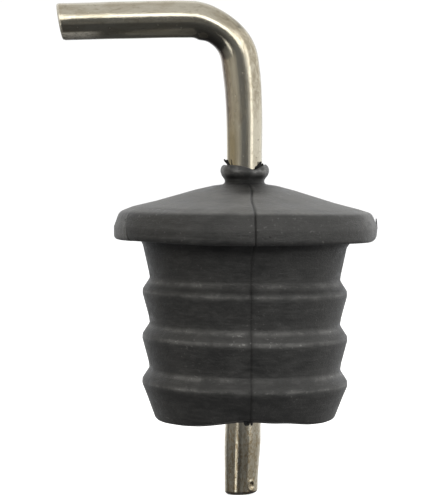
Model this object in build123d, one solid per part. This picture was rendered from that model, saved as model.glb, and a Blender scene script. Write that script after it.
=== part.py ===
"""Liquor pour spout: a bent steel tube through a ribbed rubber stopper, with a thin breather tube.

Millimetres. The origin is on the stopper's axis in the plane of the flange's underside, which
rests on the bottle's lip. +Z points up out of the bottle, and the outlet arm points along -X.
"""

from build123d import *
import os
from math import cos, radians, sin, tan

# Spout tube: section
TUBE_OD = 4.0
TUBE_WALL = 0.45

# Spout tube: route, from the straight leg through a slight lean into the tight bend and the arm
LEG_STRAIGHT_TOP = 12.1  # the leg is straight up to here
LEAN_RADIUS = 71.0
LEAN_ANGLE = 6.5
BEND_RADIUS = 5.33
ARM_DROOP = 1.4  # the arm falls this many degrees below level towards its outlet
ARM_REACH = 20.95  # from the stopper's axis to the furthest point of the outlet
OUTLET_SLANT = 8.5  # the outlet's cut, in degrees off square, longest at the top

# Spout tube: inlet end, which hangs below the stopper
INLET_BELOW_STOPPER = 7.7
INLET_TIP_OD = 3.62
INLET_TAPER_LENGTH = 5.6
INLET_LIP_ROUND = 0.4

# Spout tube: rolled bead that locks it in the rubber
BEAD_HEIGHT = 0.35
BEAD_LENGTH = 1.6
BEAD_Z = -2.4

# Running gaps between the spout tube and the rubber, on the radius and along the axis
TUBE_CLEARANCE = 0.04
BEAD_END_CLEARANCE = 0.05

# Rubber stopper: collar, cone and flange
COLLAR_WALL = 0.24
COLLAR_LIP_ROLL = 0.36  # how far the rolled lip stands out of the collar's wall
COLLAR_TOP = 8.55
COLLAR_LIP_HEIGHT = 1.45
CONE_TOP = 6.6
FLANGE_OD = 29.25
FLANGE_RIM_HEIGHT = 3.2
FLANGE_DRAFT = 0.3  # how much further in the rim's top edge stands than its foot
RIM_TOP_ROUND = 1.0
RIM_FOOT_ROUND = 0.45
UNDER_FLANGE_ROUND = 0.5

# Rubber stopper: barbed ribs that grip the bottle's mouth
RIB_COUNT = 3
RIB_PITCH = 4.95
CREST_OD = 22.66
GROOVE_OD = 21.1
ROOT_OD = 22.3  # where the plug meets the flange
FIRST_GROOVE_Z = -4.1
SHOULDER_HEIGHT = 1.4  # from a groove down to the crest of its rib
GROOVE_LAND = 0.5
CREST_LAND = 0.4
RIB_ROUND = 0.25

# Rubber stopper: lower end
PLUG_FOOT_OD = 19.6
PLUG_FOOT_Z = -20.3
FOOT_ROUND = 1.0
ARCH_HEIGHT = 1.1  # the foot is arched from front to back, so it stands lowest at its two sides
ARCH_WIDTH = 12.6

# Breather tube
BREATHER_OD = 2.0
BREATHER_WALL = 0.3
BREATHER_WEB = 1.24  # rubber left between the tube's hole and the breather's
BREATHER_PROUD = 1.0  # above the cone
BREATHER_BELOW_ARCH = 1.3
BREATHER_CLEARANCE = 0.02

# Values worked out from the ones above
TUBE_R = TUBE_OD / 2
TUBE_BORE_R = TUBE_R - TUBE_WALL
BORE_R = TUBE_R + TUBE_CLEARANCE
COLLAR_R = BORE_R + COLLAR_WALL
INLET_Z = PLUG_FOOT_Z - INLET_BELOW_STOPPER
CONE_SLOPE = (CONE_TOP - FLANGE_RIM_HEIGHT) / (FLANGE_OD / 2 - FLANGE_DRAFT - COLLAR_R)
BREATHER_HOLE_R = BREATHER_OD / 2 + BREATHER_CLEARANCE
BREATHER_OFFSET = BORE_R + BREATHER_WEB + BREATHER_HOLE_R  # straight behind the spout tube


def solid_of_revolution(outline):
    """A closed outline in the XZ plane, turned about the Z axis."""
    return revolve(outline, Axis.Z)


def face_through(points):
    """A flat face in the XZ plane from (radius, height) points."""
    return make_face(Polyline(*[(r, 0, z) for r, z in points], close=True))


def corners_at(face, points):
    """The vertices of a face in the XZ plane that lie at the given (radius, height) points."""
    return [
        v
        for v in face.vertices()
        if any(abs(v.X - r) < 1e-4 and abs(v.Z - z) < 1e-4 for r, z in points)
    ]


def bead_outline(grow, lengthen):
    """The bead's section, from the tube's middle outwards, with an optional gap all round."""
    low = BEAD_Z - BEAD_LENGTH / 2 - lengthen
    high = BEAD_Z + BEAD_LENGTH / 2 + lengthen
    mid_wall = TUBE_R - TUBE_WALL / 2
    skin = TUBE_R + grow
    arc = ThreePointArc((skin, 0, high), (skin + BEAD_HEIGHT, 0, BEAD_Z), (skin, 0, low))
    root = Polyline((skin, 0, low), (mid_wall, 0, low), (mid_wall, 0, high), (skin, 0, high))
    return make_face(arc + root)


def spout_route():
    """The tube's centre line from the top of the straight leg to past the outlet."""
    start = (0, 0, LEG_STRAIGHT_TOP)
    lean = arc_in_bend_plane(start, 0, LEAN_ANGLE, LEAN_RADIUS)
    bend = arc_in_bend_plane(tuple(lean @ 1), LEAN_ANGLE, 90 + ARM_DROOP, BEND_RADIUS)
    corner = bend @ 1
    length = ARM_REACH + corner.X + TUBE_OD
    along = Vector(-cos(radians(ARM_DROOP)), 0, -sin(radians(ARM_DROOP)))
    arm = Line(corner, corner + along * length)
    return lean + bend + arm


def arc_in_bend_plane(start, from_angle, to_angle, radius):
    """An arc in the XZ plane that turns from one angle off vertical to another, towards -X."""

    def point(angle):
        x = start[0] - radius * (cos(radians(from_angle)) - cos(radians(angle)))
        z = start[2] + radius * (sin(radians(angle)) - sin(radians(from_angle)))
        return (x, 0, z)

    return ThreePointArc(start, point((from_angle + to_angle) / 2), point(to_angle))


def outlet_plane():
    """The plane of the slanted outlet, facing out of the tube, through its furthest point."""
    droop = radians(ARM_DROOP)
    tilt = radians(ARM_DROOP + OUTLET_SLANT)
    end = spout_route() @ 1
    top_z = end.Z + (-ARM_REACH - end.X) * tan(droop) + TUBE_R / cos(droop)
    return Plane(origin=(-ARM_REACH, 0, top_z), z_dir=(-cos(tilt), 0, -sin(tilt)))


def straight_leg():
    """The leg from the inlet's rounded lip to the start of the lean, with its bead, hollow."""
    tip_r = INLET_TIP_OD / 2
    taper_top = INLET_Z + INLET_TAPER_LENGTH
    points = [
        (tip_r - TUBE_WALL, INLET_Z),
        (tip_r, INLET_Z),
        (TUBE_R, taper_top),
        (TUBE_R, LEG_STRAIGHT_TOP),
        (TUBE_BORE_R, LEG_STRAIGHT_TOP),
        (TUBE_BORE_R, taper_top),
    ]
    section = face_through(points)
    section = fillet(corners_at(section, points[1:2]), INLET_LIP_ROUND)
    return solid_of_revolution(section) + solid_of_revolution(bead_outline(0, 0))


def spout_tube():
    """The whole bent tube as one solid."""
    route = spout_route()
    section = Plane(origin=route @ 0, z_dir=route % 0) * (Circle(TUBE_R) - Circle(TUBE_BORE_R))
    upper = sweep(section, path=route)
    upper = split(upper, bisect_by=outlet_plane(), keep=Keep.BOTTOM)
    return straight_leg() + upper


def rib_points(index):
    """The outline of one rib, from the groove above it to its crest."""
    groove_z = FIRST_GROOVE_Z - index * RIB_PITCH
    crest_z = groove_z - SHOULDER_HEIGHT
    return [
        (GROOVE_OD / 2, groove_z + GROOVE_LAND / 2),
        (GROOVE_OD / 2, groove_z - GROOVE_LAND / 2),
        (CREST_OD / 2, crest_z + CREST_LAND / 2),
        (CREST_OD / 2, crest_z - CREST_LAND / 2),
    ]


def stopper_body():
    """The rubber's outside: flange, cone and ribs down to the foot, still solid inside."""
    rim_foot = (FLANGE_OD / 2, 0)
    rim_top = (FLANGE_OD / 2 - FLANGE_DRAFT, FLANGE_RIM_HEIGHT)
    root = (ROOT_OD / 2, 0)
    ribs = [p for i in range(RIB_COUNT) for p in rib_points(i)]
    foot = (PLUG_FOOT_OD / 2, PLUG_FOOT_Z)
    points = [(0, PLUG_FOOT_Z), (0, CONE_TOP), (COLLAR_R, CONE_TOP), rim_top, rim_foot]
    points += [root, *ribs, foot]
    section = face_through(points)
    rounds = [
        ([rim_top], RIM_TOP_ROUND),
        ([rim_foot], RIM_FOOT_ROUND),
        ([root], UNDER_FLANGE_ROUND),
        (ribs, RIB_ROUND),
        ([foot], FOOT_ROUND),
    ]
    for places, radius in rounds:
        section = fillet(corners_at(section, places), radius)
    return solid_of_revolution(section)


def collar():
    """The rolled collar above the cone that hugs the spout tube."""
    lip_foot = COLLAR_TOP - COLLAR_LIP_HEIGHT
    top = (COLLAR_R, 0, COLLAR_TOP)
    widest = (COLLAR_R + COLLAR_LIP_ROLL, 0, (COLLAR_TOP + lip_foot) / 2)
    bottom = (COLLAR_R, 0, lip_foot)
    roll = ThreePointArc(top, widest, bottom)
    wall = Polyline(bottom, (COLLAR_R, 0, 0), (0, 0, 0), (0, 0, COLLAR_TOP), top)
    return solid_of_revolution(make_face(roll + wall))


def foot_arch():
    """The cutter that arches the foot from front to back."""
    radius = (ARCH_WIDTH**2 / 4 + ARCH_HEIGHT**2) / (2 * ARCH_HEIGHT)
    axis_z = PLUG_FOOT_Z + ARCH_HEIGHT - radius
    return Pos(0, 0, axis_z) * Rot(90, 0, 0) * Cylinder(radius, FLANGE_OD)


def upright(radius, low, high, y=0.0):
    """A vertical cylinder between two heights."""
    return Pos(0, y, (low + high) / 2) * Cylinder(radius, high - low)


def rubber_stopper():
    """The whole moulded stopper with its two holes."""
    low = PLUG_FOOT_Z - TUBE_OD
    high = COLLAR_TOP + TUBE_OD
    tube_hole = upright(BORE_R, low, high)
    bead_groove = solid_of_revolution(bead_outline(TUBE_CLEARANCE, BEAD_END_CLEARANCE))
    breather_hole = upright(BREATHER_HOLE_R, low, high, BREATHER_OFFSET)
    return stopper_body() + collar() - foot_arch() - tube_hole - bead_groove - breather_hole


def breather_tube():
    """The thin air tube, open at both ends, cut square."""
    cone_z = CONE_TOP - CONE_SLOPE * (BREATHER_OFFSET - COLLAR_R)
    low = PLUG_FOOT_Z + ARCH_HEIGHT - BREATHER_BELOW_ARCH
    high = cone_z + BREATHER_PROUD
    outer = upright(BREATHER_OD / 2, low, high, BREATHER_OFFSET)
    return outer - upright(BREATHER_OD / 2 - BREATHER_WALL, low, high, BREATHER_OFFSET)


SUBPARTS = {
    "spout_tube": spout_tube,
    "rubber_stopper": rubber_stopper,
    "breather_tube": breather_tube,
}

os.makedirs("parts", exist_ok=True)
for name, make in SUBPARTS.items():
    export_step(make(), f"parts/{name}.step")
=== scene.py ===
"""Looks of the liquor pour spout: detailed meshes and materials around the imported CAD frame.

Shapes are written in millimetres, as on a drawing, and become metres when a mesh is made. The
origin is on the stopper's axis in the plane of the flange's underside, +Z points up out of the
bottle, and the outlet arm points along -X.
"""

from math import cos, pi, radians, sin, tan

import bmesh
import bpy
import numpy as np
from mathutils import Matrix, Vector
from mathutils.kdtree import KDTree


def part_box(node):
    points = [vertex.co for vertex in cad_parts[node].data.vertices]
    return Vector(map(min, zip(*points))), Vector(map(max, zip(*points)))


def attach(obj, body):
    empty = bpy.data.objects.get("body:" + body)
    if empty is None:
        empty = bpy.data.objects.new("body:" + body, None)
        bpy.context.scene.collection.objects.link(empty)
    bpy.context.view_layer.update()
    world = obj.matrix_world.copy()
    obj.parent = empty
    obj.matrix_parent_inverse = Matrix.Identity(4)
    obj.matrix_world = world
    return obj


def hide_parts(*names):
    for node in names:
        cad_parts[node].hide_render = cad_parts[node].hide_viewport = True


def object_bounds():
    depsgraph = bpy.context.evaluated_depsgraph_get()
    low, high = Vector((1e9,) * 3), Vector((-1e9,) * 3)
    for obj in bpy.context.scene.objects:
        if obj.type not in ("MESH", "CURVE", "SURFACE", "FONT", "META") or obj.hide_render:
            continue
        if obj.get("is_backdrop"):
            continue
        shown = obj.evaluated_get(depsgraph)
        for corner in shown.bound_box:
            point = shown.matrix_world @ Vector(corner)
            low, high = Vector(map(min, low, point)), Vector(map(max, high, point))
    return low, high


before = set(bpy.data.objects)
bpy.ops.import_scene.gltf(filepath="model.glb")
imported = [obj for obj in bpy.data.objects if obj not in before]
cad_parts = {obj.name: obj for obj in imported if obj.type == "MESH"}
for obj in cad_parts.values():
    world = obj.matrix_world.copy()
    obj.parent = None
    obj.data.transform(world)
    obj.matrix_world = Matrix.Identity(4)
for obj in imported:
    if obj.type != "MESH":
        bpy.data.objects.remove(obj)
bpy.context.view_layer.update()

MM = 0.001

# Spout tube, as in the CAD
TUBE_R = 2.0
TUBE_WALL = 0.45
INLET_Z = -28.0
INLET_TIP_R = 1.82
LEG_TOP = 12.1
LEAN_RADIUS = 71.0
LEAN_ANGLE = radians(6.5)
BEND_RADIUS = 5.33
ARM_DROOP = radians(1.4)
ARM_REACH = 20.95
OUTLET_SLANT = radians(8.5)

# Spout tube: how the made object strays from the CAD
SKIN_INSET = 0.02
SWELL = 0.05  # at the inlet's end, and again from near the top of the lean to the outlet
FLATTENING = 0.055  # the share of its radius that the bend loses towards its outside and inside
FOLD_HEIGHT = 0.13  # the crease inside the bend, where it meets the arm
KINK_HEIGHT = 0.07  # the start of the bend, also on the inside
ARM_BELLY = 0.06  # along the arm's underside
RIPPLE_HEIGHT = 0.006
CROSS_RIPPLE_HEIGHT = 0.004
OUTLET_FLAT_DEPTH = 0.06  # a dent on the front, next to the outlet
PIT_DEPTH = 0.03  # one small pit in the front of the arm
RING_MARK_DEPTH = 0.1
RING_MARK_RIM = 0.07

# Spout tube: its edges
INLET_ROUND = 0.4
OUTLET_CRIMP_LENGTH = 0.42
OUTLET_CRIMP_DEPTH = 0.15
OUTLET_INNER_ROUND = 0.06
TUBE_SIDES = 96

# Rubber stopper
SEAM_ANGLE = radians(-86.8)  # the front mould line, measured from +X towards +Y
SEAM_WIDTH = 0.1
BODY_TURN = radians(0.9)  # how far the ribs' half of the mould stood turned against the flange's
NECK_SWING = radians(5.0)  # how far the mould line wanders on its way up the cone
TRIM_ANGLE = radians(-152.5)  # where the trimmed patch on the flange's left end stops at the front
RING_TILT = 0.014  # how much lower the ribs stand for each millimetre towards +X
BODY_SHIFT = 0.065  # how far the moulded body stands to +X of the tube
FOOT_Z = -20.25
RIB_GROOVES = [-4.05 - 4.98 * i for i in range(3)]
BODY_R = 9.0  # outside this radius are the ribs and the flange
RIM_R = 13.2  # outside this radius is the flange's rim
LUMP_HEIGHT = 0.02
STOPPER_SIDES = 300

# Breather tube, as in the CAD but for the last two
BREATHER_R = 1.0
BREATHER_WALL = 0.3
BREATHER_Y = 4.3
BREATHER_SIDES = 48
BREATHER_GRIP = 0.03  # how much narrower, in radius, the rubber's hole for it is


# ---------------------------------------------------------------- curves and meshes


def smooth(value, low, high):
    """0 below low, 1 above high, and a smooth step between."""
    t = np.clip((value - low) / (high - low), 0.0, 1.0)
    return t * t * (3 - 2 * t)


def hump(value, centre, width):
    """A bell curve of height 1."""
    return np.exp(-(((value - centre) / width) ** 2))


def turn_from(angle, place):
    """The signed turn from one angle to another."""
    return (angle - place + pi) % (2 * pi) - pi


def wave_seeds(count, seed):
    """Directions, phases and shares for waves, the same each run."""
    draws = np.random.default_rng(seed)
    limits = ((-1, 1), (-1, 1), (0, 2 * pi), (0.4, 1))
    return [[draws.uniform(low, high) for low, high in limits] for _ in range(count)]


def waves(x, y, seeds, scale):
    """Smooth low noise over two coordinates."""
    total = np.zeros(np.broadcast(x, y).shape)
    for a, b, phase, share in seeds:
        total = total + share * np.sin(a * x / scale + b * y / scale + phase)
    return total


RIPPLES = wave_seeds(6, 11)
LUMPS = wave_seeds(8, 23)


def mesh_object(name, verts, faces, attributes=None):
    """A smooth-shaded mesh object from points in millimetres, with named vectors at its points."""
    mesh = bpy.data.meshes.new(name)
    mesh.from_pydata((np.asarray(verts) * MM).tolist(), [], faces)
    for key, values in (attributes or {}).items():
        layer = mesh.attributes.new(key, "FLOAT_VECTOR", "POINT")
        layer.data.foreach_set("vector", np.asarray(values, np.float32).ravel())
    mesh.polygons.foreach_set("use_smooth", [True] * len(mesh.polygons))
    mesh.validate()
    return scene_object(name, mesh)


def scene_object(name, data):
    """A new object in the scene that holds a mesh, a light or a camera."""
    obj = bpy.data.objects.new(name, data)
    bpy.context.scene.collection.objects.link(obj)
    return obj


def ring_faces(rings, sides, closed):
    """Quads between neighbouring rings of a stack, and from its last to its first if closed."""
    faces = []
    for i in range(rings if closed else rings - 1):
        a, b = i * sides, (i + 1) % rings * sides
        for j in range(sides):
            k = (j + 1) % sides
            faces.append((a + j, a + k, b + k, b + j))
    return faces


def rounded_outline(corners, spacing):
    """Evenly spaced points round a closed outline of (r, z, round) corners."""
    points = [np.array(corner[:2], float) for corner in corners]
    path = []
    for i, here in enumerate(points):
        inward, outward = points[i - 1] - here, points[(i + 1) % len(points)] - here
        a, b = np.linalg.norm(inward), np.linalg.norm(outward)
        turn = np.arccos(np.clip(inward @ outward / (a * b), -1, 1))
        reach = min(corners[i][2] / max(tan(turn / 2), 0.05), 0.48 * a, 0.48 * b)
        if reach < 1e-3:
            path.append(here)
            continue
        start, end = here + inward / a * reach, here + outward / b * reach
        for t in np.linspace(0, 1, 9):
            path.append((1 - t) ** 2 * start + 2 * t * (1 - t) * here + t**2 * end)
    path = np.array(path + path[:1])
    along = np.concatenate([[0], np.cumsum(np.linalg.norm(np.diff(path, axis=0), axis=1))])
    at = np.linspace(0, along[-1], int(along[-1] / spacing), endpoint=False)
    return np.stack([np.interp(at, along, path[:, k]) for k in range(2)], axis=1)


# ---------------------------------------------------------------- spout tube


def arc_point(start, first, last, radius):
    """Where an arc in the XZ plane ends that turns towards -X, from one angle off vertical to another."""
    return (
        start[0] - radius * (cos(first) - cos(last)),
        start[1] + radius * (sin(last) - sin(first)),
    )


def lean_point(angle):
    """A place on the gentle lean above the straight leg."""
    return arc_point((0.0, LEG_TOP), 0.0, angle, LEAN_RADIUS)


def bend_point(angle):
    """A place on the tight bend above the lean."""
    return arc_point(lean_point(LEAN_ANGLE), LEAN_ANGLE, angle, BEND_RADIUS)


def route_lengths():
    """Arc length at the end of the leg, of the lean, of the bend and of the arm's axis."""
    leg = LEG_TOP - INLET_Z
    lean = leg + LEAN_RADIUS * LEAN_ANGLE
    bend = lean + BEND_RADIUS * (pi / 2 + ARM_DROOP - LEAN_ANGLE)
    arm = bend + (ARM_REACH + bend_point(pi / 2 + ARM_DROOP)[0]) / cos(ARM_DROOP)
    return leg, lean, bend, arm


def route(s):
    """(x, z, angle off vertical towards -X) at arc length s from the inlet."""
    leg, lean, bend, _ = route_lengths()
    if s <= leg:
        return 0.0, INLET_Z + s, 0.0
    if s <= lean:
        angle = (s - leg) / LEAN_RADIUS
        return (*lean_point(angle), angle)
    if s <= bend:
        angle = LEAN_ANGLE + (s - lean) / BEND_RADIUS
        return (*bend_point(angle), angle)
    angle = pi / 2 + ARM_DROOP
    x, z = bend_point(angle)
    return x - (s - bend) * sin(angle), z + (s - bend) * cos(angle), angle


def inlet_drift(z):
    """How far the tube's lower end leans to -X of the axis."""
    return -0.15 * smooth(-z, 10.0, 21.0) - 0.22 * smooth(-z, 19.0, 28.5)


def centre_shift(s):
    """How far the section's middle stands off the ideal line: the bend is flattened on its outside."""
    _, lean, bend, _ = route_lengths()
    return -0.1 * smooth(s, lean + 2.0, bend) - 0.3 * hump(s, (lean + bend) / 2 + 0.8, 2.9)


def away_from_mark(s, theta, at, degrees_round, wide, tall):
    """How many half-widths and half-heights a place on the tube is from a mark's middle."""
    turn = turn_from(theta, radians(degrees_round))
    return np.hypot(TUBE_R * turn / wide, (s - at) / tall)


def ring_mark(s, theta):
    """The depth of a small ring-shaped punch mark low on the front of the inlet."""
    away = away_from_mark(s, theta, 1.05, -53, 0.33, 0.46)
    return RING_MARK_DEPTH * np.exp(-((away / 0.75) ** 4)) - RING_MARK_RIM * hump(away, 1.15, 0.3)


def tube_radii(s, theta):
    """Outer radius over the angle theta, 0 on the outside of the bend, at arc length s."""
    _, lean, bend, end = route_lengths()
    out, side = np.cos(theta), np.sin(theta)
    neck = (TUBE_R - INLET_TIP_R) * (1 - smooth(s, 0.2, 6.2))
    swell = SWELL * (1 - smooth(s, 5.5, 9.0) + smooth(s, lean - 5.0, lean - 1.0))
    radius = TUBE_R - SKIN_INSET - neck + swell
    flattened = FLATTENING * hump(s, (lean + bend) / 2, 2.4) - 0.02 * hump(s, lean - 3.4, 3.0)
    radius = radius * (1 - flattened * out**2 + 0.5 * flattened * side**2)
    fold = FOLD_HEIGHT * hump(s, bend - 1.4, 0.85) - 0.03 * hump(s, bend - 3.2, 0.7)
    kink = KINK_HEIGHT * hump(s, lean + 0.3, 2.2) + ARM_BELLY * smooth(s, bend - 1.0, bend + 1.0)
    radius = radius + hump(out, -1.0, 0.4) * (fold + kink)
    radius = radius + RIPPLE_HEIGHT * waves(s, 1.2 * out, RIPPLES, 1.0)
    radius = radius + CROSS_RIPPLE_HEIGHT * waves(1.1 * side, s, RIPPLES, 0.6)
    pit = PIT_DEPTH * hump(away_from_mark(s, theta, end - 5.8, -78, 0.14, 0.1), 0.0, 1.0)
    flat = smooth(s, end - 2.6, end - 0.5) * hump(turn_from(theta, radians(-77)), 0.0, 0.35)
    return radius - ring_mark(s, theta) - pit - OUTLET_FLAT_DEPTH * flat


def tube_ring(s, theta, radii, skew):
    """A ring of points round the route, slid along it by skew times each point's height."""
    x, z, angle = route(s)
    across = radii * np.cos(theta) + centre_shift(s)
    slide = skew * radii * np.cos(theta)
    px = x + across * cos(angle) - slide * sin(angle)
    pz = z + across * sin(angle) + slide * cos(angle)
    return np.stack([px + inlet_drift(pz), radii * np.sin(theta), pz], axis=1)


def tube_stations():
    """(arc length, inset from the outer skin) of each ring: up the outside, then back down the bore."""
    leg, lean, bend, end = route_lengths()
    outlet = end - TUBE_R * tan(OUTLET_SLANT) - 0.2
    turns = np.linspace(0, pi / 2, 7)
    outside = np.concatenate([
        np.arange(INLET_ROUND, 2.4, 0.07),
        np.arange(2.4, leg, 0.3),
        np.arange(leg, lean - 2, 0.2),
        np.arange(lean - 2, bend + 1.5, 0.12),
        np.arange(bend + 1.5, outlet - OUTLET_CRIMP_LENGTH, 0.25),
    ])
    stations = [(INLET_ROUND * (1 - sin(t)), INLET_ROUND * (1 - cos(t))) for t in turns[::-1]]
    stations += [(s, 0.0) for s in outside[1:]]
    for t in turns:
        stations.append((outlet - OUTLET_CRIMP_LENGTH * (1 - sin(t)), OUTLET_CRIMP_DEPTH * (1 - cos(t))))
    for t in turns[::-1]:
        inset = TUBE_WALL - OUTLET_INNER_ROUND * (1 - cos(t))
        stations.append((outlet - OUTLET_INNER_ROUND * (1 - sin(t)), inset))
    return stations + [(s, TUBE_WALL) for s in np.arange(0.12, outlet - 0.2, 0.3)[::-1]]


def spout_tube():
    """The bent tube, hollow, with a slanted outlet and a necked, rounded inlet."""
    end = route_lengths()[-1]
    theta = np.linspace(0, 2 * pi, TUBE_SIDES, endpoint=False)
    rings, places = [], []
    for s, inset in tube_stations():
        skew = tan(OUTLET_SLANT) * smooth(s, end - 4.5, end - 0.3) + 0.05 * (1 - smooth(s, 0.0, 1.2))
        rings.append(tube_ring(s, theta, tube_radii(s, theta) - inset, skew))
        places.append(np.stack([np.full_like(theta, s), np.cos(theta), np.sin(theta)], axis=1))
    faces = ring_faces(len(rings), TUBE_SIDES, closed=True)
    return mesh_object("spout_tube_skin", np.vstack(rings), faces, {"route": np.vstack(places)})


# ---------------------------------------------------------------- rubber stopper


def stopper_corners():
    """The stopper's closed outline as (radius, height, round), from the collar out and down."""
    corners = [
        (2.02, 5.6, 0.2), (2.02, 8.3, 0.1), (2.3, 8.6, 0.15), (2.6, 8.3, 0.25), (2.68, 7.88, 0.3),
        (2.5, 7.35, 0.3), (2.23, 7.0, 0.2), (2.15, 6.62, 0.2), (2.4, 6.42, 0.3), (3.5, 6.27, 0.8),
        (5.4, 5.79, 3.0), (9.87, 4.45, 4.0), (12.5, 3.8, 1.5), (14.0, 3.3, 0.9), (14.58, 1.6, 1.0),
        (14.56, 0.12, 0.5), (11.75, 0.12, 0.3), (11.32, -0.5, 0.6), (11.04, -1.8, 2.0), (10.7, -3.4, 1.0),
    ]
    for groove in RIB_GROOVES:
        corners += [(10.6, groove, 0.3), (11.37, groove - 1.2, 0.18), (11.4, groove - 1.7, 0.25)]
        if groove > RIB_GROOVES[-1]:
            corners.append((10.72, groove - 4.2, 1.0))
    corners += [
        (10.87, -17.1, 2.0), (9.95, -19.75, 0.6), (8.2, FOOT_Z, 1.2), (2.75, FOOT_Z, 0.15),
        (2.62, -17.6, 0.2), (2.4, -17.0, 0.3), (2.4, 4.8, 0.3),
    ]
    return corners


def stopper_angles():
    """Angles round the stopper, closer together at the mould lines and the trim line."""
    angles = np.linspace(-pi, pi, STOPPER_SIDES, endpoint=False)
    seam_steps = np.radians([-0.9, -0.62, -0.4, -0.24, -0.1, 0.0, 0.1, 0.24, 0.4, 0.62, 0.9])
    trim_steps = np.radians(np.arange(-3.2, 3.3, 0.32))
    finer = ((SEAM_ANGLE, seam_steps), (SEAM_ANGLE + pi, seam_steps), (TRIM_ANGLE, trim_steps))
    for place, steps in finer:
        clear = np.abs(turn_from(angles, place)) > steps[-1] + np.radians(0.2)
        angles = np.concatenate([angles[clear], place + steps])
    return np.sort(angles)


def is_outside(r, z):
    """True on the rubber's outer skin, false in its holes."""
    return (r > 2.1) & ((r > 2.75) | (z > 5.9))


def is_rim(r, z):
    """True on the flange's rim."""
    return (r > RIM_R) & (z > 0.0)


def seam_lines(r, z, angle):
    """1 on the two mould lines below the neck, fading to each side, and the step across them."""
    line, step = 0.0, 0.0
    for seam, share in ((SEAM_ANGLE, 1.0), (SEAM_ANGLE + pi, 0.8)):
        across = r * turn_from(angle, seam)
        line = line + share * hump(across, 0.0, SEAM_WIDTH)
        step = step + share * (0.025 * hump(across, -0.2, 0.11) + 0.04 * hump(across, 0.24, 0.13))
    below_neck = is_outside(r, z) * (1 - smooth(z, 6.25, 6.5))
    return line * below_neck, step * below_neck


def trim_turn(z, angle):
    """The turn past the edge of the trimmed patch, which stands a little aslant."""
    return np.abs(turn_from(angle, pi)) - (pi + TRIM_ANGLE) + radians(2.2) * (z - 1.6) / 1.6


def trimmed_patch(r, z, angle):
    """1 where the flange's left end was trimmed by hand."""
    patch = 1 - smooth(trim_turn(z, angle), -0.006, 0.006)
    return is_rim(r, z) * patch * hump(turn_from(angle, pi), 0.0, 2.0)


def stopper_relief(r, z, angle):
    """How far the skin stands off the smooth outline."""
    line, step = seam_lines(r, z, angle)
    seam_depth = 0.022 + 0.088 * smooth(z, -1.0, 1.0) * smooth(r, 3.0, 9.0)
    lumps = LUMP_HEIGHT * waves(r * np.cos(angle), z + r * np.sin(angle), LUMPS, 2.6)
    lip = smooth(z, 6.9, 7.6) * (r > 2.03)
    lip_waves = lip * (0.06 * np.sin(3 * angle + 0.6) + 0.045 * np.sin(7 * angle))
    trim_ridges = trimmed_patch(r, z, angle) * (0.012 + 0.01 * np.sin(95 * angle))
    trim_edge = is_rim(r, z) * (1 - smooth(z, 0.7, 1.4)) * hump(trim_turn(z, angle), 0.012, 0.009)
    relief = step - line * seam_depth + lumps + lip_waves + trim_ridges - 0.06 * trim_edge
    return relief * is_outside(r, z)


def foot_wave(x):
    """How far the foot's lower edge lifts between its two side lobes."""
    middle = 0.85 * hump(x, -0.6, 4.0) + 0.25 * hump(x, 4.6, 1.8)
    slope = 0.28 + 0.3 * smooth(x, -3.0, 3.0) - 0.12 * smooth(x, 6.0, 8.5)
    return (middle + slope) * (1 - 0.8 * smooth(-x, 5.5, 10.0))


def mould_turn(r, z, angle):
    """The angle after the wander of the mould line and the turn of the lower body."""
    swing = NECK_SWING * (1 - smooth(r, 2.5, 9.5)) * hump(turn_from(angle, SEAM_ANGLE), 0.0, 0.7)
    return angle + swing - BODY_TURN * (1 - smooth(z, -1.5, -0.3)) * (r > BODY_R)


def stopper_points(profile, angle):
    """The stopper's points: the outline turned about the axis, then uneven as rubber comes out."""
    run = np.roll(profile, -1, axis=0) - np.roll(profile, 1, axis=0)
    run /= np.linalg.norm(run, axis=1, keepdims=True)
    r, z = profile[:, :1], profile[:, 1:]
    relief = stopper_relief(r, z, angle)
    skin_r = r - run[:, 1:] * relief
    skin_z = z + run[:, :1] * relief
    turned = mould_turn(r, z, angle)
    x, y = skin_r * np.cos(turned), skin_r * np.sin(turned)

    body = smooth(r, 2.5, 6.0)
    flange = smooth(z, -0.7, -0.1) * body
    cone_tilt = (0.75 - 0.45 * smooth(x, -2.0, 4.0)) * smooth(z, 3.2, 3.9)
    tilt = (0.35 + 0.65 * smooth(-z, -1.0, 4.0) + cone_tilt) * body
    left_lift = flange * smooth(-x, 3.0, 13.0) * (0.19 - 0.16 * smooth(z, 0.5, 3.4))
    foot = np.clip((-15.9 - z) / 4.0, 0, 1)
    lip_dip = 0.45 * smooth(z, 7.3, 8.5) * hump(turn_from(angle, SEAM_ANGLE + 0.26), 0.0, 0.5)
    skin_z = skin_z - RING_TILT * x * tilt + left_lift + foot * foot_wave(x) - lip_dip

    x = x + body * (0.03 * flange + BODY_SHIFT)
    rim_round = 0.24 * (1 - smooth(z, 0.1, 0.9)) - 0.1 * hump(z, 2.1, 0.8)
    x = x - is_rim(r, z) * smooth(x, 12.5, 14.5) * rim_round
    return np.stack([x, y, skin_z], axis=2).reshape(-1, 3)


def worn_lines(r, z, angle):
    """Pale lines on the crests and in the grooves of the ribs, broken at the mould line."""
    lines = sum(hump(z, groove - 1.4, 0.16) + 0.8 * hump(z, groove - 0.28, 0.2) for groove in RIB_GROOVES)
    broken = 1 - 0.85 * hump(r * turn_from(angle, SEAM_ANGLE), 0.0, 0.4)
    return lines * broken * (is_outside(r, z) & (r > BODY_R))


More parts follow.
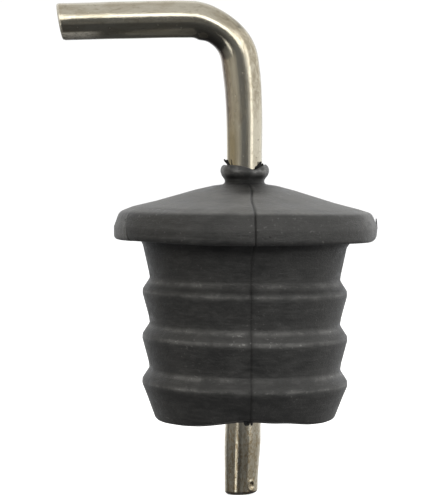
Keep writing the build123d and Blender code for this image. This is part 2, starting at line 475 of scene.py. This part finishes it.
def dark_lines_and_painted_shade(r, z, angle):
    """Dark mould lines, and painted shade under the collar's lip, below the neck on the front and on the
    first rib's shoulder.
    """
    outside = is_outside(r, z)
    body = outside & (r > BODY_R)
    flange_share = 0.27 * smooth(z, -1.0, 0.0) * smooth(r, 3.0, 9.0)
    seam_share = 0.1 + flange_share + 0.25 * is_rim(r, z) + 0.1 * (z < -1.0)
    soft_seam = 0.22 * body * (z < -0.6) * hump(r * turn_from(angle, SEAM_ANGLE), 0.0, 0.26)
    # painted shade: a dark band round the underside of the collar's lip, where the lip shades the neck
    collar = outside * (r < 3.0) * hump(z, 7.2, 0.32) * (0.5 + 0.2 * np.sin(5 * angle))
    # painted shade below the neck, on the front of the cone
    front = (np.sin(angle) < 0) * hump(r * np.cos(angle), 0.0, 2.4)
    neck_shade = 0.68 * outside * front * (1 - smooth(r, 5.8, 8.6)) * (z < 6.9)
    # painted shade on the first rib's shoulder, under the flange
    first_rib_shade = 0.35 * body * hump(z, RIB_GROOVES[0] - 0.84, 0.28)
    dark = seam_lines(r, z, angle)[0] * seam_share + soft_seam + collar + neck_shade + first_rib_shade
    return np.minimum(dark, 1.0)


def pale_ends_and_painted_light(r, z, angle):
    """Pale patches: the trimmed patch on the flange's left end, painted light on its right end and painted
    highlights on the collar's lip.
    """
    # painted light on the flange's right end
    lit_right_end = smooth(np.cos(angle), 0.84, 0.95)
    flange_ends = is_rim(r, z) * (0.6 * trimmed_patch(r, z, angle) + 0.8 * lit_right_end)
    # painted highlights on the collar's lip
    lobes = smooth(np.abs(np.cos(angle + 0.25)), 0.3, 0.75)
    lobes = lobes + 0.8 * hump(turn_from(angle, radians(-112)), 0.0, 0.2)
    return flange_ends + 1.4 * (r > 2.4) * (r < 3.2) * hump(z, 7.95, 0.45) * lobes


def rubber_stopper():
    """The moulded stopper: collar, cone, flange, barbed ribs, foot and hollow core."""
    profile = rounded_outline(stopper_corners(), 0.2)
    angle = stopper_angles()[None, :]
    points = stopper_points(profile, angle)
    place = profile[:, :1], profile[:, 1:], angle
    layers = np.broadcast_arrays(worn_lines(*place), dark_lines_and_painted_shade(*place), pale_ends_and_painted_light(*place))
    marks = np.stack(layers, axis=2).reshape(-1, 3)
    faces = ring_faces(len(profile), angle.size, closed=True)
    stopper = mesh_object("rubber_stopper_skin", points, faces)
    low, high = -26.0, 12.0  # well past both ends of the rubber
    hole_r = BREATHER_R - BREATHER_GRIP
    cut(stopper, upright_cylinder("breather_cutter", hole_r, low, high, BREATHER_Y))
    carry_marks(stopper, points, marks)
    return stopper


def upright_cylinder(name, radius, low, high, y):
    """A plain cylinder, used only to cut a hole."""
    middle = Matrix.Translation((0, y * MM, (low + high) / 2 * MM))
    solid = bmesh.new()
    bmesh.ops.create_cone(
        solid, cap_ends=True, segments=48, radius1=radius * MM, radius2=radius * MM,
        depth=(high - low) * MM, matrix=middle,
    )
    mesh = bpy.data.meshes.new(name)
    solid.to_mesh(mesh)
    solid.free()
    return scene_object(name, mesh)


def cut(obj, cutter):
    """Cuts one mesh with another and removes the cutter."""
    boolean = obj.modifiers.new("cut", "BOOLEAN")
    boolean.operation = "DIFFERENCE"
    boolean.solver = "EXACT"
    boolean.object = cutter
    graph = bpy.context.evaluated_depsgraph_get()
    made = bpy.data.meshes.new_from_object(obj.evaluated_get(graph))
    made.polygons.foreach_set("use_smooth", [True] * len(made.polygons))
    obj.modifiers.clear()
    obj.data = made
    bpy.data.objects.remove(cutter)


def carry_marks(obj, points, marks):
    """Gives each vertex of a cut mesh the marks of the nearest point it had before the cut."""
    tree = KDTree(len(points))
    for i, point in enumerate(points):
        tree.insert(point, i)
    tree.balance()
    nearest = [tree.find(v.co / MM)[1] for v in obj.data.vertices]
    layer = obj.data.attributes.new("marks", "FLOAT_VECTOR", "POINT")
    layer.data.foreach_set("vector", marks[nearest].astype(np.float32).ravel())


# ---------------------------------------------------------------- flash on the stopper

COLLAR_FLASH_DARK = 0.75  # the flash at the collar is soiled, the rest is cleaner
OTHER_FLASH_DARK = 0.2


def blade(start, end, across, width, thick, bend, taper):
    """A torn sliver of rubber: rings that narrow from start towards end."""
    rings, sides = 10, 8
    start, end, bend = np.array(start), np.array(end), np.array(bend)
    across = np.array(across, float) / np.linalg.norm(across)
    along = (end - start) / np.linalg.norm(end - start)
    other = np.cross(along, across)
    points = []
    for t in np.linspace(0, 1, rings):
        centre = start + (end - start) * t + bend * t * t
        half_width = width * (1 - taper * t**1.4) * (1 + 0.18 * sin(9 * t))
        half_thick = thick * (1 - 0.86 * taper * t)
        for a in 2 * pi * np.arange(sides) / sides:
            points.append(centre + across * half_width * cos(a) + other * half_thick * sin(a))
    first_cap = tuple(range(sides))[::-1]
    last_cap = tuple(range((rings - 1) * sides, rings * sides))
    return np.array(points), ring_faces(rings, sides, closed=False) + [first_cap, last_cap]


def dome(centre, outward, radius, height):
    """A small moulding pip: a low dome whose foot is sunk in the rubber."""
    turn = Vector(outward).normalized().to_track_quat("Z", "Y").to_matrix()
    rings, sides, sunk = 5, 14, 0.04
    local = []
    for lift in pi / 2 * np.arange(rings) / rings:
        out, up = radius * cos(lift), height * sin(lift) - sunk
        local += [(out * cos(a), out * sin(a), up) for a in 2 * pi * np.arange(sides) / sides]
    local.append((0.0, 0.0, height - sunk))
    points = np.array([Vector(centre) + turn @ Vector(place) for place in local])
    last, top = (rings - 1) * sides, rings * sides
    fan = [(last + k, last + (k + 1) % sides, top) for k in range(sides)]
    return points, ring_faces(rings, sides, closed=False) + fan + [tuple(range(sides))[::-1]]


def on_rim(angle, z, radius=14.6):
    """A point on the flange's rim and the way out of it."""
    way = (cos(angle), sin(angle), 0.0)
    return (radius * way[0] + 0.09, radius * way[1], z), way


def stopper_flash():
    """Torn flash at the collar, the flange's right end and the foot, and moulding pips on the rim."""
    collar = [
        blade((-1.42, -1.5, 8.1), (-2.26, -1.15, 9.1), (1, 0.3, 0.6), 0.16, 0.1, (0, 0, 0.06), 0.5),
        blade((-1.45, -1.5, 8.1), (-1.98, -1.25, 9.12), (1, 0.3, 0.3), 0.15, 0.1, (0, 0, 0), 0.5),
        blade((1.2, -1.62, 8.2), (2.0, -1.0, 8.58), (0, 0, 1), 0.17, 0.14, (0, 0, 0.02), 0.25),
        blade((1.6, -1.35, 8.3), (1.72, -1.25, 8.92), (1, 0.5, 0), 0.26, 0.12, (0.03, 0, 0), 0.55),
    ]
    others = [
        blade((14.62, -0.6, 1.5), (14.56, -0.6, 2.62), (0.1, 1.0, 0.1), 0.3, 0.11, (0, 0, 0), 0.5),
        blade((0.25, -8.9, -17.9), (0.15, -8.9, -19.2), (1, 0.1, 0), 0.7, 0.3, (-0.05, 0, 0), 0.75),
        blade((0.65, -9.7, -17.9), (0.6, -9.3, -19.1), (1, 0.1, 0), 0.25, 0.2, (0, 0, 0), 0.6),
        dome(*on_rim(radians(-80.7), 1.05), 0.16, 0.1),
        dome(*on_rim(radians(-155.5), 2.6, 14.28), 0.14, 0.1),
    ]
    verts, faces, marks = [], [], []
    for bits, dark in ((collar, COLLAR_FLASH_DARK), (others, OTHER_FLASH_DARK)):
        for points, quads in bits:
            faces += [tuple(i + len(verts) for i in quad) for quad in quads]
            verts += points.tolist()
            marks += [(0.0, dark, 0.0)] * len(points)
    return mesh_object("stopper_flash", verts, faces, {"marks": marks})


# ---------------------------------------------------------------- breather tube


def breather_tube():
    """The thin straight air tube, hollow, with softly broken edges."""
    low, high = (corner.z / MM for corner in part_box("breather_tube"))
    bore, soft = BREATHER_R - BREATHER_WALL, 0.07
    corners = [(BREATHER_R, low, soft), (bore, low, soft), (bore, high, soft), (BREATHER_R, high, soft)]
    theta = np.linspace(0, 2 * pi, BREATHER_SIDES, endpoint=False)
    out, side = np.cos(theta), np.sin(theta)
    rings, places = [], []
    for r, z in rounded_outline(corners, 0.12):
        level = np.full_like(theta, z)
        rings.append(np.stack([r * out, BREATHER_Y + r * side, level], axis=1))
        places.append(np.stack([level, out, side], axis=1))
    faces = ring_faces(len(rings), BREATHER_SIDES, closed=True)
    return mesh_object("breather_tube_skin", np.vstack(rings), faces, {"route": np.vstack(places)})


# ---------------------------------------------------------------- node helper


class Nodes:
    """The emptied node tree of a material or of the world, with short ways to add to it."""

    def __init__(self, owner, output_kind):
        """Starts the tree afresh, with nothing but its output node."""
        owner.use_nodes = True
        self.tree = owner.node_tree
        self.tree.nodes.clear()
        self.output = self.add(output_kind)

    def feed(self, socket, value):
        """Links a socket to another, or sets it to a number, vector or colour."""
        if isinstance(value, bpy.types.NodeSocket):
            self.tree.links.new(value, socket)
        elif socket.type == "RGBA":
            socket.default_value = (*value, 1.0)
        else:
            socket.default_value = value

    def add(self, kind, settings=None, **inputs):
        """A node with its settings, and its inputs, each by its name or by its number as _number."""
        node = self.tree.nodes.new(kind)
        for key, value in (settings or {}).items():
            setattr(node, key, value)
        for key, value in inputs.items():
            self.feed(node.inputs[int(key[1:]) if key.startswith("_") else key], value)
        return node

    def calculate(self, operation, a, b, clamp=False):
        """Two values joined by one step of arithmetic."""
        settings = {"operation": operation, "use_clamp": clamp}
        return self.add("ShaderNodeMath", settings, _0=a, _1=b).outputs[0]

    def times(self, first, *others):
        """The product of all the values."""
        for other in others:
            first = self.calculate("MULTIPLY", first, other)
        return first

    def plus(self, first, *others, clamp=False):
        """The sum of all the values, kept between 0 and 1 if clamp is set."""
        for other in others:
            first = self.calculate("ADD", first, other, clamp and other is others[-1])
        return first

    def ramp(self, value, low, high, out_low=0.0, out_high=1.0):
        """A smooth step from out_low, where the value is low, to out_high, where it is high."""
        node = self.add("ShaderNodeMapRange", {"interpolation_type": "SMOOTHSTEP"}, Value=value)
        limits = {"From Min": low, "From Max": high, "To Min": out_low, "To Max": out_high}
        for key, number in limits.items():
            node.inputs[key].default_value = number
        return node.outputs[0]

    def band(self, value, rise, full, fall, gone):
        """1 between full and fall, fading to 0 at rise and at gone."""
        return self.times(self.ramp(value, rise, full), self.ramp(value, gone, fall))

    def blend(self, share, under, over):
        """One colour with a share of another over it."""
        return self.add("ShaderNodeMix", {"data_type": "RGBA"}, _0=share, _6=under, _7=over).outputs[2]

    def noise(self, vector, stretch, scale, detail, roughness, distortion=0.0):
        """Noise over a vector, first multiplied by stretch, axis by axis, unless that is None."""
        if stretch:
            vector = self.stretched(vector, stretch)
        node = self.add(
            "ShaderNodeTexNoise", Vector=vector, Scale=scale, Detail=detail, Roughness=roughness,
            Distortion=distortion,
        )
        return node.outputs[0]

    def stretched(self, vector, stretch):
        """A vector multiplied axis by axis."""
        settings = {"operation": "MULTIPLY"}
        return self.add("ShaderNodeVectorMath", settings, _0=vector, _1=stretch).outputs[0]

    def split(self, vector):
        """The X, Y and Z of a vector."""
        return self.add("ShaderNodeSeparateXYZ", Vector=vector).outputs

    def attribute(self, name):
        """A vector that the mesh carries at its points."""
        return self.add("ShaderNodeAttribute", {"attribute_name": name}).outputs["Vector"]


def new_material(name):
    """A material with one Principled shader, its nodes and that shader's inputs."""
    material = bpy.data.materials.new(name)
    nodes = Nodes(material, "ShaderNodeOutputMaterial")
    shader = nodes.add("ShaderNodeBsdfPrincipled")
    nodes.feed(nodes.output.inputs["Surface"], shader.outputs[0])
    return material, nodes, shader.inputs


# ---------------------------------------------------------------- steel

BRIGHT_SCRATCH = (0.8, 0.78, 0.72)
PIT_DIRT = (0.07, 0.06, 0.05)
# Pale and less metallic: a painted reflection under the tube's far end, and a ring at its lip
PAINTED_REFLECTION_AND_PALE_LIP = (0.86, 0.82, 0.73)
BROWN_FILM = (0.25, 0.2, 0.165)
AMBER_FILM = (0.37, 0.31, 0.19)
DARK_FILM = (0.1, 0.095, 0.085)


def darker(colour, share):
    """A colour with only a share of its light."""
    return tuple(share * part for part in colour)


def bend_films(nodes, colour, stain, length, out, patches):
    """Thin films of old syrup on the spout tube's leg and bend. Lengths are from the inlet."""
    brown = nodes.times(
        nodes.band(length, 38.0, 43.0, 53.0, 56.0),
        nodes.ramp(out, -0.55, -0.85),
        nodes.ramp(patches, 0.3, 0.6, 0.55, 0.95),
    )
    amber = nodes.times(nodes.band(length, 34.0, 35.0, 38.0, 44.0), nodes.ramp(out, -0.3, -0.6, 0.0, 0.75))
    outer = nodes.times(
        nodes.band(length, 40.0, 45.0, 52.0, 57.0),
        nodes.ramp(out, 0.1, 0.7),
        nodes.ramp(patches, 0.38, 0.6, 0.2, 0.8),
    )
    under = nodes.times(nodes.band(length, 49.0, 51.0, 53.0, 59.0), nodes.ramp(out, -0.2, -0.7, 0.0, 0.75))
    films = ((brown, BROWN_FILM), (amber, AMBER_FILM), (outer, darker(stain, 0.78)), (under, DARK_FILM))
    for share, film in films:
        colour = nodes.blend(share, colour, film)
    return colour


def steel(name, tint, stain, grime, rough, ends, films):
    """Worn stainless tube: drawn lines along it, tan patina, dirt at its ends, a painted pale reflection
    on its underside near the far end, a pale ring at its lip, pits and scratches. ends holds the
    distances along the tube, in millimetres, between which no dirt clings.
    films adds the old syrup of the spout tube's bend."""
    material, nodes, inputs = new_material(name)
    along = nodes.attribute("route")
    length, out, _ = nodes.split(along)
    place = nodes.add("ShaderNodeTexCoord").outputs["Object"]
    lines = nodes.noise(along, (0.1, 8.0, 8.0), 1.6, 6.0, 0.62)
    fine = nodes.noise(along, (0.35, 30.0, 30.0), 1.6, 3.0, 0.6)
    cloud = nodes.noise(along, (0.14, 1.1, 1.1), 1.5, 4.0, 0.6, 0.8)
    patches = nodes.noise(along, (0.8, 2.6, 2.6), 1.5, 6.0, 0.68, 0.5)
    crust = nodes.noise(along, (1.3, 5.5, 5.5), 1.5, 6.0, 0.7, 0.7)
    specks = nodes.noise(place, None, 2600.0, 3.0, 0.5)

    near, far = ends
    patina = nodes.ramp(cloud, 0.42, 0.68)
    soil = nodes.times(nodes.ramp(patches, 0.52, 0.7, 0.0, 0.75), nodes.ramp(lines, 0.35, 0.65, 0.4, 1.0))
    near_end = nodes.ramp(length, near - 2.5, near, 1.0, 0.0)
    far_end = nodes.ramp(length, far, far + 4.0, 0.0, 0.6)
    dirt = nodes.times(nodes.calculate("MAXIMUM", near_end, far_end), nodes.ramp(crust, 0.42, 0.62))
    pits = nodes.ramp(specks, 0.69, 0.75)
    scratches = nodes.ramp(fine, 0.66, 0.74)
    # painted reflection: pale and less metallic on the underside near the far end, and a pale ring at the
    # lip
    below = nodes.times(nodes.ramp(out, -0.6, -0.72), nodes.ramp(length, far - 2.2, far + 0.3))
    lip = nodes.ramp(length, far + 2.75, far + 3.05)
    scale = nodes.times(nodes.calculate("MAXIMUM", below, lip), nodes.ramp(crust, 0.35, 0.55, 0.5, 0.9))

    colour = nodes.blend(nodes.times(patina, 0.55), tint, stain)
    colour = nodes.blend(nodes.times(soil, 0.6), colour, darker(stain, 0.6))
    if films:
        colour = bend_films(nodes, colour, stain, length, out, patches)
    colour = nodes.blend(nodes.times(dirt, 0.85), colour, grime)
    colour = nodes.blend(nodes.times(scratches, 0.35), colour, BRIGHT_SCRATCH)
    colour = nodes.blend(nodes.times(pits, 0.6), colour, PIT_DIRT)
    nodes.feed(inputs["Base Color"], nodes.blend(scale, colour, PAINTED_REFLECTION_AND_PALE_LIP))
    nodes.feed(inputs["Metallic"], nodes.calculate("SUBTRACT", 1.0, scale))

    dull = nodes.times(nodes.calculate("MAXIMUM", soil, dirt), 0.08)
    brushed = nodes.ramp(lines, 0.3, 0.7, rough - 0.05, rough + 0.05)
    roughness = nodes.plus(brushed, dull, nodes.times(patina, 0.05), nodes.times(pits, 0.2), clamp=True)
    nodes.feed(inputs["Roughness"], roughness)

    drawn = nodes.plus(nodes.times(lines, 0.7), nodes.times(pits, -0.8))
    height = nodes.plus(drawn, nodes.times(fine, 0.15), nodes.times(patches, 0.7))
    bump = nodes.add("ShaderNodeBump", Strength=0.3, Distance=0.00004, Height=height)
    nodes.feed(inputs["Normal"], bump.outputs[0])
    return material


# ---------------------------------------------------------------- rubber

RUBBER_DARK = (0.026, 0.0265, 0.027)
RUBBER_LIGHT = (0.046, 0.046, 0.046)
BLOTCH_GREY = (0.085, 0.085, 0.084)
RING_GREY = (0.09, 0.09, 0.09)
# Dust on faces that point up, which also paints their top light
DUST_AND_TOP_LIGHT = (0.17, 0.17, 0.167)
RUBBED = (0.23, 0.23, 0.227)
# Pale trimmed patch, and painted light on the flange's right end and painted highlights on the collar's
# lip
PALE_END_AND_LIGHT = (0.27, 0.27, 0.27)
FLECK = (0.36, 0.36, 0.355)
# The darkest colour: grime on the mould lines and flash, and painted shade under the collar's lip, below
# the neck and on the first rib
GRIME_AND_SHADE = (0.008, 0.008, 0.008)


def rubber():
    """Old black rubber: matte, dusty and painted lighter where it faces up, with pale worn lines on crests
    and grooves, and painted highlights and shade from its marks.
    """
    material, nodes, inputs = new_material("stopper_rubber_look")
    coordinates = nodes.add("ShaderNodeTexCoord").outputs
    place = coordinates["Object"]
    facing_up = nodes.split(coordinates["Normal"])[2]
    # dark carries the mould lines and grime, and the painted shade
    # ends carries the pale trimmed patch, the painted light and the painted highlights
    worn, dark, ends = nodes.split(nodes.attribute("marks"))
    cloud = nodes.noise(place, None, 170.0, 5.0, 0.6, 0.4)
    blotch = nodes.noise(place, (1.0, 1.0, 1.8), 560.0, 6.0, 0.7, 0.3)
    rings = nodes.noise(place, (1.0, 1.0, 7.0), 420.0, 4.0, 0.6, 0.2)
    grain = nodes.noise(place, None, 2300.0, 4.0, 0.7)
    speck = nodes.noise(place, (1.0, 1.0, 1.4), 2600.0, 2.0, 0.5)

    flat = nodes.stretched(place, (1.0, 1.0, 0.0))
    from_axis = nodes.add("ShaderNodeVectorMath", {"operation": "LENGTH"}, _0=flat).outputs["Value"]
    # painted shade: less dust and painted top light close to the neck
    clear_of_neck_shade = nodes.ramp(from_axis, 0.0026, 0.0068, 0.1, 1.0)
    blotched = nodes.ramp(blotch, 0.35, 0.66, 0.35, 1.1)
    # dust and painted top light: lighter where the rubber faces up
    dust_and_top_light = nodes.times(nodes.ramp(facing_up, 0.6, 0.97), clear_of_neck_shade, blotched)
    rubbed = nodes.times(
        worn,
        nodes.ramp(cloud, 0.36, 0.56, 0.2, 1.0),
        nodes.ramp(blotch, 0.35, 0.6, 0.4, 1.0),
    )
    # pale trimmed patch, with painted light and painted highlights
    pale = nodes.times(ends, nodes.ramp(blotch, 0.4, 0.6, 0.15, 1.2))
    flecked = nodes.plus(rubbed, nodes.ramp(cloud, 0.46, 0.7, 0.05, 0.6), clamp=True)
    flecks = nodes.times(nodes.ramp(speck, 0.62, 0.7), flecked)

    layers = (
        (nodes.ramp(blotch, 0.4, 0.75, 0.0, 0.6), BLOTCH_GREY),
        (nodes.ramp(rings, 0.45, 0.75, 0.0, 0.35), RING_GREY),
        (nodes.times(dust_and_top_light, 0.85), DUST_AND_TOP_LIGHT),
        (nodes.times(rubbed, 0.75), RUBBED),
        (nodes.times(pale, 0.7), PALE_END_AND_LIGHT),
        (nodes.times(flecks, 0.7), FLECK),
        (nodes.times(dark, 0.92), GRIME_AND_SHADE),
    )
    colour = nodes.blend(nodes.ramp(cloud, 0.3, 0.7), RUBBER_DARK, RUBBER_LIGHT)
    for share, layer in layers:
        colour = nodes.blend(share, colour, layer)
    nodes.feed(inputs["Base Color"], colour)

    matte = nodes.ramp(blotch, 0.3, 0.7, 0.44, 0.66)
    nodes.feed(inputs["Roughness"], nodes.plus(matte, nodes.times(dust_and_top_light, 0.12), clamp=True))
    nodes.feed(inputs["Specular IOR Level"], nodes.ramp(dark, 0.0, 1.0, 0.5, 0.05))
    nodes.feed(inputs["Sheen Weight"], nodes.ramp(dark, 0.0, 0.8, 0.18, 0.0))
    nodes.feed(inputs["Sheen Roughness"], 0.45)

    height = nodes.plus(nodes.times(grain, 0.45), blotch, nodes.times(rings, 0.5))
    bump = nodes.add("ShaderNodeBump", Strength=0.6, Distance=0.00014, Height=height)
    nodes.feed(inputs["Normal"], bump.outputs[0])
    return material


# ---------------------------------------------------------------- floor and surroundings

FLOOR_HALF = 1500.0
FLOOR_GAP = 0.1  # between the floor and the lowest point of the object
PAPER = (0.8, 0.8, 0.8)
WHITE = (1.0, 1.0, 1.0)
COOL = (0.98, 1.0, 1.03)


def floor_material():
    """Plain white paper, seen only from above: mostly its own light, with a soft contact shadow."""
    material = bpy.data.materials.new("floor_white")
    nodes = Nodes(material, "ShaderNodeOutputMaterial")
    paper = nodes.add("ShaderNodeBsdfDiffuse", Color=PAPER).outputs[0]
    glow = nodes.add("ShaderNodeEmission", Color=WHITE, Strength=0.86).outputs[0]
    both = nodes.add("ShaderNodeAddShader", _0=paper, _1=glow).outputs[0]
    clear = nodes.add("ShaderNodeBsdfTransparent").outputs[0]
    under = nodes.add("ShaderNodeNewGeometry").outputs["Backfacing"]
    seen = nodes.add("ShaderNodeMixShader", _0=under, _1=both, _2=clear).outputs[0]
    nodes.feed(nodes.output.inputs["Surface"], seen)
    return material


def make_floor(lowest):
    """A wide sheet just below the object, which neither lights it nor shows in its reflections."""
    z = lowest / MM - FLOOR_GAP
    corners = [(x * FLOOR_HALF, y * FLOOR_HALF, z) for x, y in ((-1, -1), (1, -1), (1, 1), (-1, 1))]
    floor = mesh_object("floor", corners, [(0, 1, 2, 3)])
    floor.data.materials.append(floor_material())
    floor.visible_glossy = False
    floor.visible_diffuse = False
    floor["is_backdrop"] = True


def make_world():
    """White to the camera. To the object: bright behind it, dark elsewhere and darkest below."""
    world = bpy.data.worlds.new("studio")
    bpy.context.scene.world = world
    nodes = Nodes(world, "ShaderNodeOutputWorld")
    _, behind, up = nodes.split(nodes.add("ShaderNodeTexCoord").outputs["Generated"])
    base = nodes.ramp(up, -0.35, 0.1, 0.065, 0.165)
    back = nodes.plus(nodes.ramp(behind, 0.3, 0.7, 0.0, 0.36), nodes.ramp(behind, 0.6, 0.9, 0.0, 0.7))
    level = nodes.plus(base, nodes.times(back, nodes.ramp(up, -0.5, -0.1)))
    lit = nodes.add("ShaderNodeBackground", Color=COOL, Strength=level).outputs[0]
    plain = nodes.add("ShaderNodeBackground", Color=WHITE, Strength=1.05).outputs[0]
    to_camera = nodes.add("ShaderNodeLightPath").outputs["Is Camera Ray"]
    mix = nodes.add("ShaderNodeMixShader", _0=to_camera, _1=lit, _2=plain).outputs[0]
    nodes.feed(nodes.output.inputs["Surface"], mix)


# ---------------------------------------------------------------- lights

LIGHT_DISTANCE = 0.5  # metres
WARM = (1.0, 0.98, 0.93)
TAN = (1.0, 0.92, 0.76)


def soft_box(name, azimuth, elevation, wide, tall, radiance, tone=WARM):
    """A soft box as seen from the object: its azimuth, 0 at the camera's side and 90 at +X, its
    elevation and its width and height, all in degrees, then the brightness of its face."""
    a, e = radians(azimuth), radians(elevation)
    way = Vector((sin(a) * cos(e), -cos(a) * cos(e), sin(e)))
    data = bpy.data.lights.new(name, "AREA")
    data.shape = "RECTANGLE"
    data.size = 2 * LIGHT_DISTANCE * tan(radians(wide) / 2)
    data.size_y = 2 * LIGHT_DISTANCE * tan(radians(tall) / 2)
    data.energy = radiance * pi * data.size * data.size_y
    data.color = tone
    light = scene_object(name, data)
    light.location = way * LIGHT_DISTANCE
    light.rotation_mode = "QUATERNION"
    light.rotation_quaternion = (-way).to_track_quat("-Z", "Y")
    light.visible_camera = False


def make_lights():
    """Soft boxes placed where the tube's streaks and shaded bands need them."""
    soft_box("strip_over_front", -6, 23.5, 76, 17, 2.2)
    soft_box("panel_right", 88, 21.5, 90, 53, 0.75)
    soft_box("panel_right_low", 88, -20, 90, 26, 0.36)
    soft_box("edge_right", 45, 14, 18, 44, 1.1)
    soft_box("edge_right_soft", 29, 14, 12, 44, 0.3)
    soft_box("panel_left", -50, 18, 32, 46, 0.3, tone=TAN)
    soft_box("panel_left_edge", -28, 18, 12, 46, 0.17, tone=TAN)
    soft_box("panel_far_left", -92, 20, 53, 50, 0.38, tone=TAN)
    soft_box("panel_left_low", -72, -15, 62, 18, 0.1)
    soft_box("bar_low_left", -38, -15, 11, 16, 1.6)
    soft_box("bar_low_front", 14, -15, 44, 16, 0.09)
    soft_box("roof", 0, 82, 84, 100, 0.5)


# ---------------------------------------------------------------- camera

CAMERA_DISTANCE = 0.185  # metres
CAMERA_HEIGHT = 0.0065  # metres
PIXELS_PER_MM = 9.0
IMAGE_HEIGHT = 495  # pixels
SENSOR = 36.0  # millimetres
AXIS_FROM_MIDDLE = 3.0  # millimetres that the stopper's axis stands right of the picture's middle
LEVEL_AT_MIDDLE = -0.6  # height on the axis, in millimetres, at the picture's middle


def make_camera():
    """A long lens a little above the cone's height, tipped down to the middle of the object."""
    data = bpy.data.cameras.new("camera")
    camera = scene_object("camera", data)
    x = -AXIS_FROM_MIDDLE * MM
    camera.location = (x, -CAMERA_DISTANCE, CAMERA_HEIGHT)
    sight = Vector((x, 0, LEVEL_AT_MIDDLE * MM)) - camera.location
    camera.rotation_mode = "QUATERNION"
    camera.rotation_quaternion = sight.to_track_quat("-Z", "Y")
    data.sensor_width = SENSOR
    data.lens = SENSOR * PIXELS_PER_MM * sight.length / MM / IMAGE_HEIGHT
    data.clip_start = 0.01
    data.clip_end = 20.0
    bpy.context.scene.camera = camera


# ---------------------------------------------------------------- the scene


def dress(piece, material, body, slot, *nodes):
    """Gives a piece its material and body, and hides the CAD nodes it stands for. The slot is not used."""
    piece.data.materials.clear()
    piece.data.materials.append(material)
    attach(piece, body)
    if nodes:
        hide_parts(*nodes)


spout_look = steel(
    "spout_steel_look", tint=(0.66, 0.62, 0.515), stain=(0.47, 0.41, 0.3), grime=(0.4, 0.31, 0.18),
    rough=0.13, ends=(9.0, 67.5), films=True,
)
breather_look = steel(
    "breather_steel_look", tint=(0.64, 0.61, 0.53), stain=(0.48, 0.43, 0.34), grime=(0.36, 0.3, 0.2),
    rough=0.22, ends=(-19.0, 6.0), films=False,
)
rubber_look = rubber()
dress(spout_tube(), spout_look, "spout", "spout_steel", "spout_tube")
dress(rubber_stopper(), rubber_look, "stopper", "stopper_rubber", "rubber_stopper")
dress(stopper_flash(), rubber_look, "stopper", "stopper_rubber")
dress(breather_tube(), breather_look, "stopper", "breather_steel", "breather_tube")

make_floor(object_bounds()[0].z)
make_world()
make_lights()
make_camera()

view = bpy.context.scene.view_settings
view.view_transform = "Standard"
view.look = "None"
view.exposure = 0.0
view.gamma = 1.0
